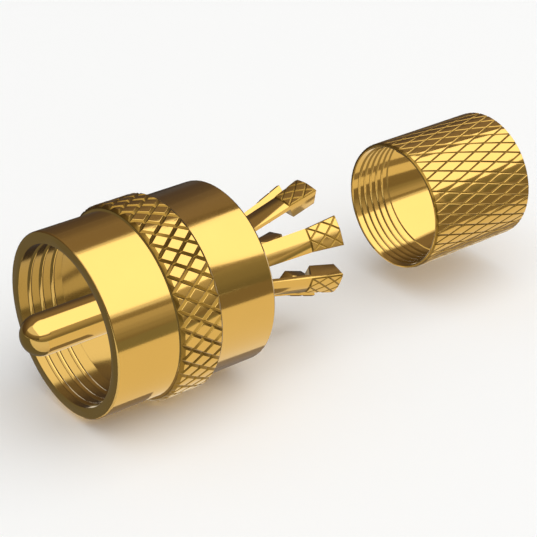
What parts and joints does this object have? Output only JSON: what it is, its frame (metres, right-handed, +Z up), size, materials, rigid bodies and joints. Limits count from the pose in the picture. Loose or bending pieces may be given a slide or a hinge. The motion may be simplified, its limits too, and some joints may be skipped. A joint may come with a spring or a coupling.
{
  "type": "uhf connector",
  "caption": "Gold plated UHF cable plug for solderless fitting, shown apart: coupling nut, body with six clamping jaws, centre pin and knurled retaining barrel.",
  "frame": {"origin": "bottom centre of the box round the plug and its barrel, under the plug's axis, on the surface that the knurled band lies on", "axes": "+X along the plug's axis from the pin to the barrel, +Z up"},
  "size_m": [0.0582, 0.0194, 0.0194],
  "materials": {
    "gold_nut": "polished",
    "gold_body": "polished",
    "gold_pin": "polished",
    "white_bead": "matte"
  },
  "bodies": {
    "plug": {"plug_body": "gold_body", "coupling_clip": "gold_body", "insulator": "white_bead", "centre_pin": "gold_pin"},
    "nut": {"coupling_nut": "gold_nut"},
    "barrel": {"retaining_barrel": "gold_nut"},
    "clamp_1": {"jaw_1": "gold_body"},
    "clamp_2": {"jaw_2": "gold_body"},
    "clamp_3": {"jaw_3": "gold_body"},
    "clamp_4": {"jaw_4": "gold_body"},
    "clamp_5": {"jaw_5": "gold_body"},
    "clamp_6": {"jaw_6": "gold_body"}
  },
  "joints": [
    {"name": "coupling_spin", "type": "hinge", "parent": "plug", "child": "nut", "pos_m": [-0.01579, 0, 0.00972], "axis": [1, 0, 0], "continuous": true},
    {"name": "barrel_travel", "type": "slide", "parent": "plug", "child": "barrel", "axis": [-1, 0, 0], "range_m": [0, 0.02358]},
    {"name": "jaw_bend_1", "type": "hinge", "parent": "plug", "child": "clamp_1", "pos_m": [-0.00515, 0, 0.01307], "axis": [0, 1, 0], "range_deg": [0, 7.5]},
    {"name": "jaw_bend_2", "type": "hinge", "parent": "plug", "child": "clamp_2", "pos_m": [-0.00515, -0.0029, 0.0114], "axis": [0, 0.5, 0.866], "range_deg": [0, 7.5]},
    {"name": "jaw_bend_3", "type": "hinge", "parent": "plug", "child": "clamp_3", "pos_m": [-0.00515, -0.0029, 0.00805], "axis": [0, -0.5, 0.866], "range_deg": [0, 7.5]},
    {"name": "jaw_bend_4", "type": "hinge", "parent": "plug", "child": "clamp_4", "pos_m": [-0.00515, 0, 0.00637], "axis": [0, -1, 0], "range_deg": [0, 7.5]},
    {"name": "jaw_bend_5", "type": "hinge", "parent": "plug", "child": "clamp_5", "pos_m": [-0.00515, 0.0029, 0.00805], "axis": [0, -0.5, -0.866], "range_deg": [0, 7.5]},
    {"name": "jaw_bend_6", "type": "hinge", "parent": "plug", "child": "clamp_6", "pos_m": [-0.00515, 0.0029, 0.0114], "axis": [0, 0.5, -0.866], "range_deg": [0, 7.5]}
  ],
  "couplings": [
    {"joint": "jaw_bend_1", "follows": "barrel_travel", "rad_per_m": 5.55},
    {"joint": "jaw_bend_2", "follows": "barrel_travel", "rad_per_m": 5.55},
    {"joint": "jaw_bend_3", "follows": "barrel_travel", "rad_per_m": 5.55},
    {"joint": "jaw_bend_4", "follows": "barrel_travel", "rad_per_m": 5.55},
    {"joint": "jaw_bend_5", "follows": "barrel_travel", "rad_per_m": 5.55},
    {"joint": "jaw_bend_6", "follows": "barrel_travel", "rad_per_m": 5.55}
  ]
}
